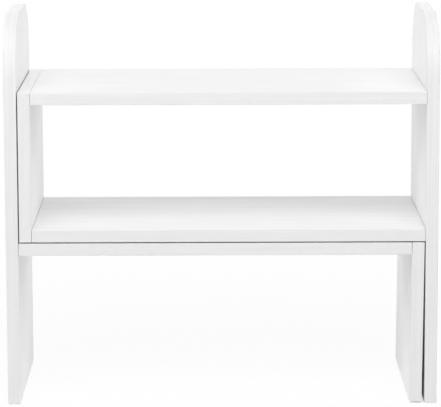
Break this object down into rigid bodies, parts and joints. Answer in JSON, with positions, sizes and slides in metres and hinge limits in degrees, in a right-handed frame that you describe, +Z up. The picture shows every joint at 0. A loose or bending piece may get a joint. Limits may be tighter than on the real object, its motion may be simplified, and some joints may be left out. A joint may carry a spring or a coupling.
{
  "type": "desktop bookshelf",
  "caption": "Stretching desktop bookshelf of white boards: a fixed frame with a lower shelf, and a sliding frame with an upper and a middle shelf between round-topped side panels.",
  "frame": {"origin": "on the desk, under the middle of the closed bookshelf", "axes": "+X along the shelves, the way the sliding frame pulls out; +Y from the front to the back; +Z up"},
  "size_m": [0.42, 0.2, 0.38],
  "materials": {
    "white_board": "white paint, satin, with a faint grain",
    "screw_steel": "zinc plated",
    "cap_plastic": "white, matt",
    "dowel_wood": "bare beech",
    "felt": "pressed felt"
  },
  "bodies": {
    "fixed_frame": {"left_side_panel": "white_board", "lower_shelf": "white_board", "right_leg": "white_board", "foot_pad_front": "felt", "foot_pad_rear": "felt", "screw_lower_left_front": "screw_steel", "screw_lower_left_rear": "screw_steel", "screw_lower_right_front": "screw_steel", "screw_lower_right_rear": "screw_steel", "cap_lower_left_front": "cap_plastic", "cap_lower_left_rear": "cap_plastic", "cap_lower_right_front": "cap_plastic", "cap_lower_right_rear": "cap_plastic", "dowel_lower_left_front": "dowel_wood", "dowel_lower_left_rear": "dowel_wood", "dowel_lower_right_front": "dowel_wood", "dowel_lower_right_rear": "dowel_wood"},
    "sliding_frame": {"left_upright": "white_board", "middle_shelf": "white_board", "top_shelf": "white_board", "right_side_panel": "white_board", "glide_pad_front": "felt", "glide_pad_rear": "felt", "screw_middle_left_front": "screw_steel", "screw_middle_left_rear": "screw_steel", "screw_middle_right_front": "screw_steel", "screw_middle_right_rear": "screw_steel", "screw_top_left_front": "screw_steel", "screw_top_left_rear": "screw_steel", "screw_top_right_front": "screw_steel", "screw_top_right_rear": "screw_steel", "cap_middle_left_front": "cap_plastic", "cap_middle_left_rear": "cap_plastic", "cap_middle_right_front": "cap_plastic", "cap_middle_right_rear": "cap_plastic", "cap_top_left_front": "cap_plastic", "cap_top_left_rear": "cap_plastic", "cap_top_right_front": "cap_plastic", "cap_top_right_rear": "cap_plastic", "dowel_middle_left_front": "dowel_wood", "dowel_middle_left_rear": "dowel_wood", "dowel_middle_right_front": "dowel_wood", "dowel_middle_right_rear": "dowel_wood", "dowel_top_left_front": "dowel_wood", "dowel_top_left_rear": "dowel_wood", "dowel_top_right_front": "dowel_wood", "dowel_top_right_rear": "dowel_wood"}
  },
  "joints": [
    {"name": "pull_out", "type": "slide", "parent": "fixed_frame", "child": "sliding_frame", "axis": [1, 0, 0], "range_m": [0, 0.33]}
  ]
}
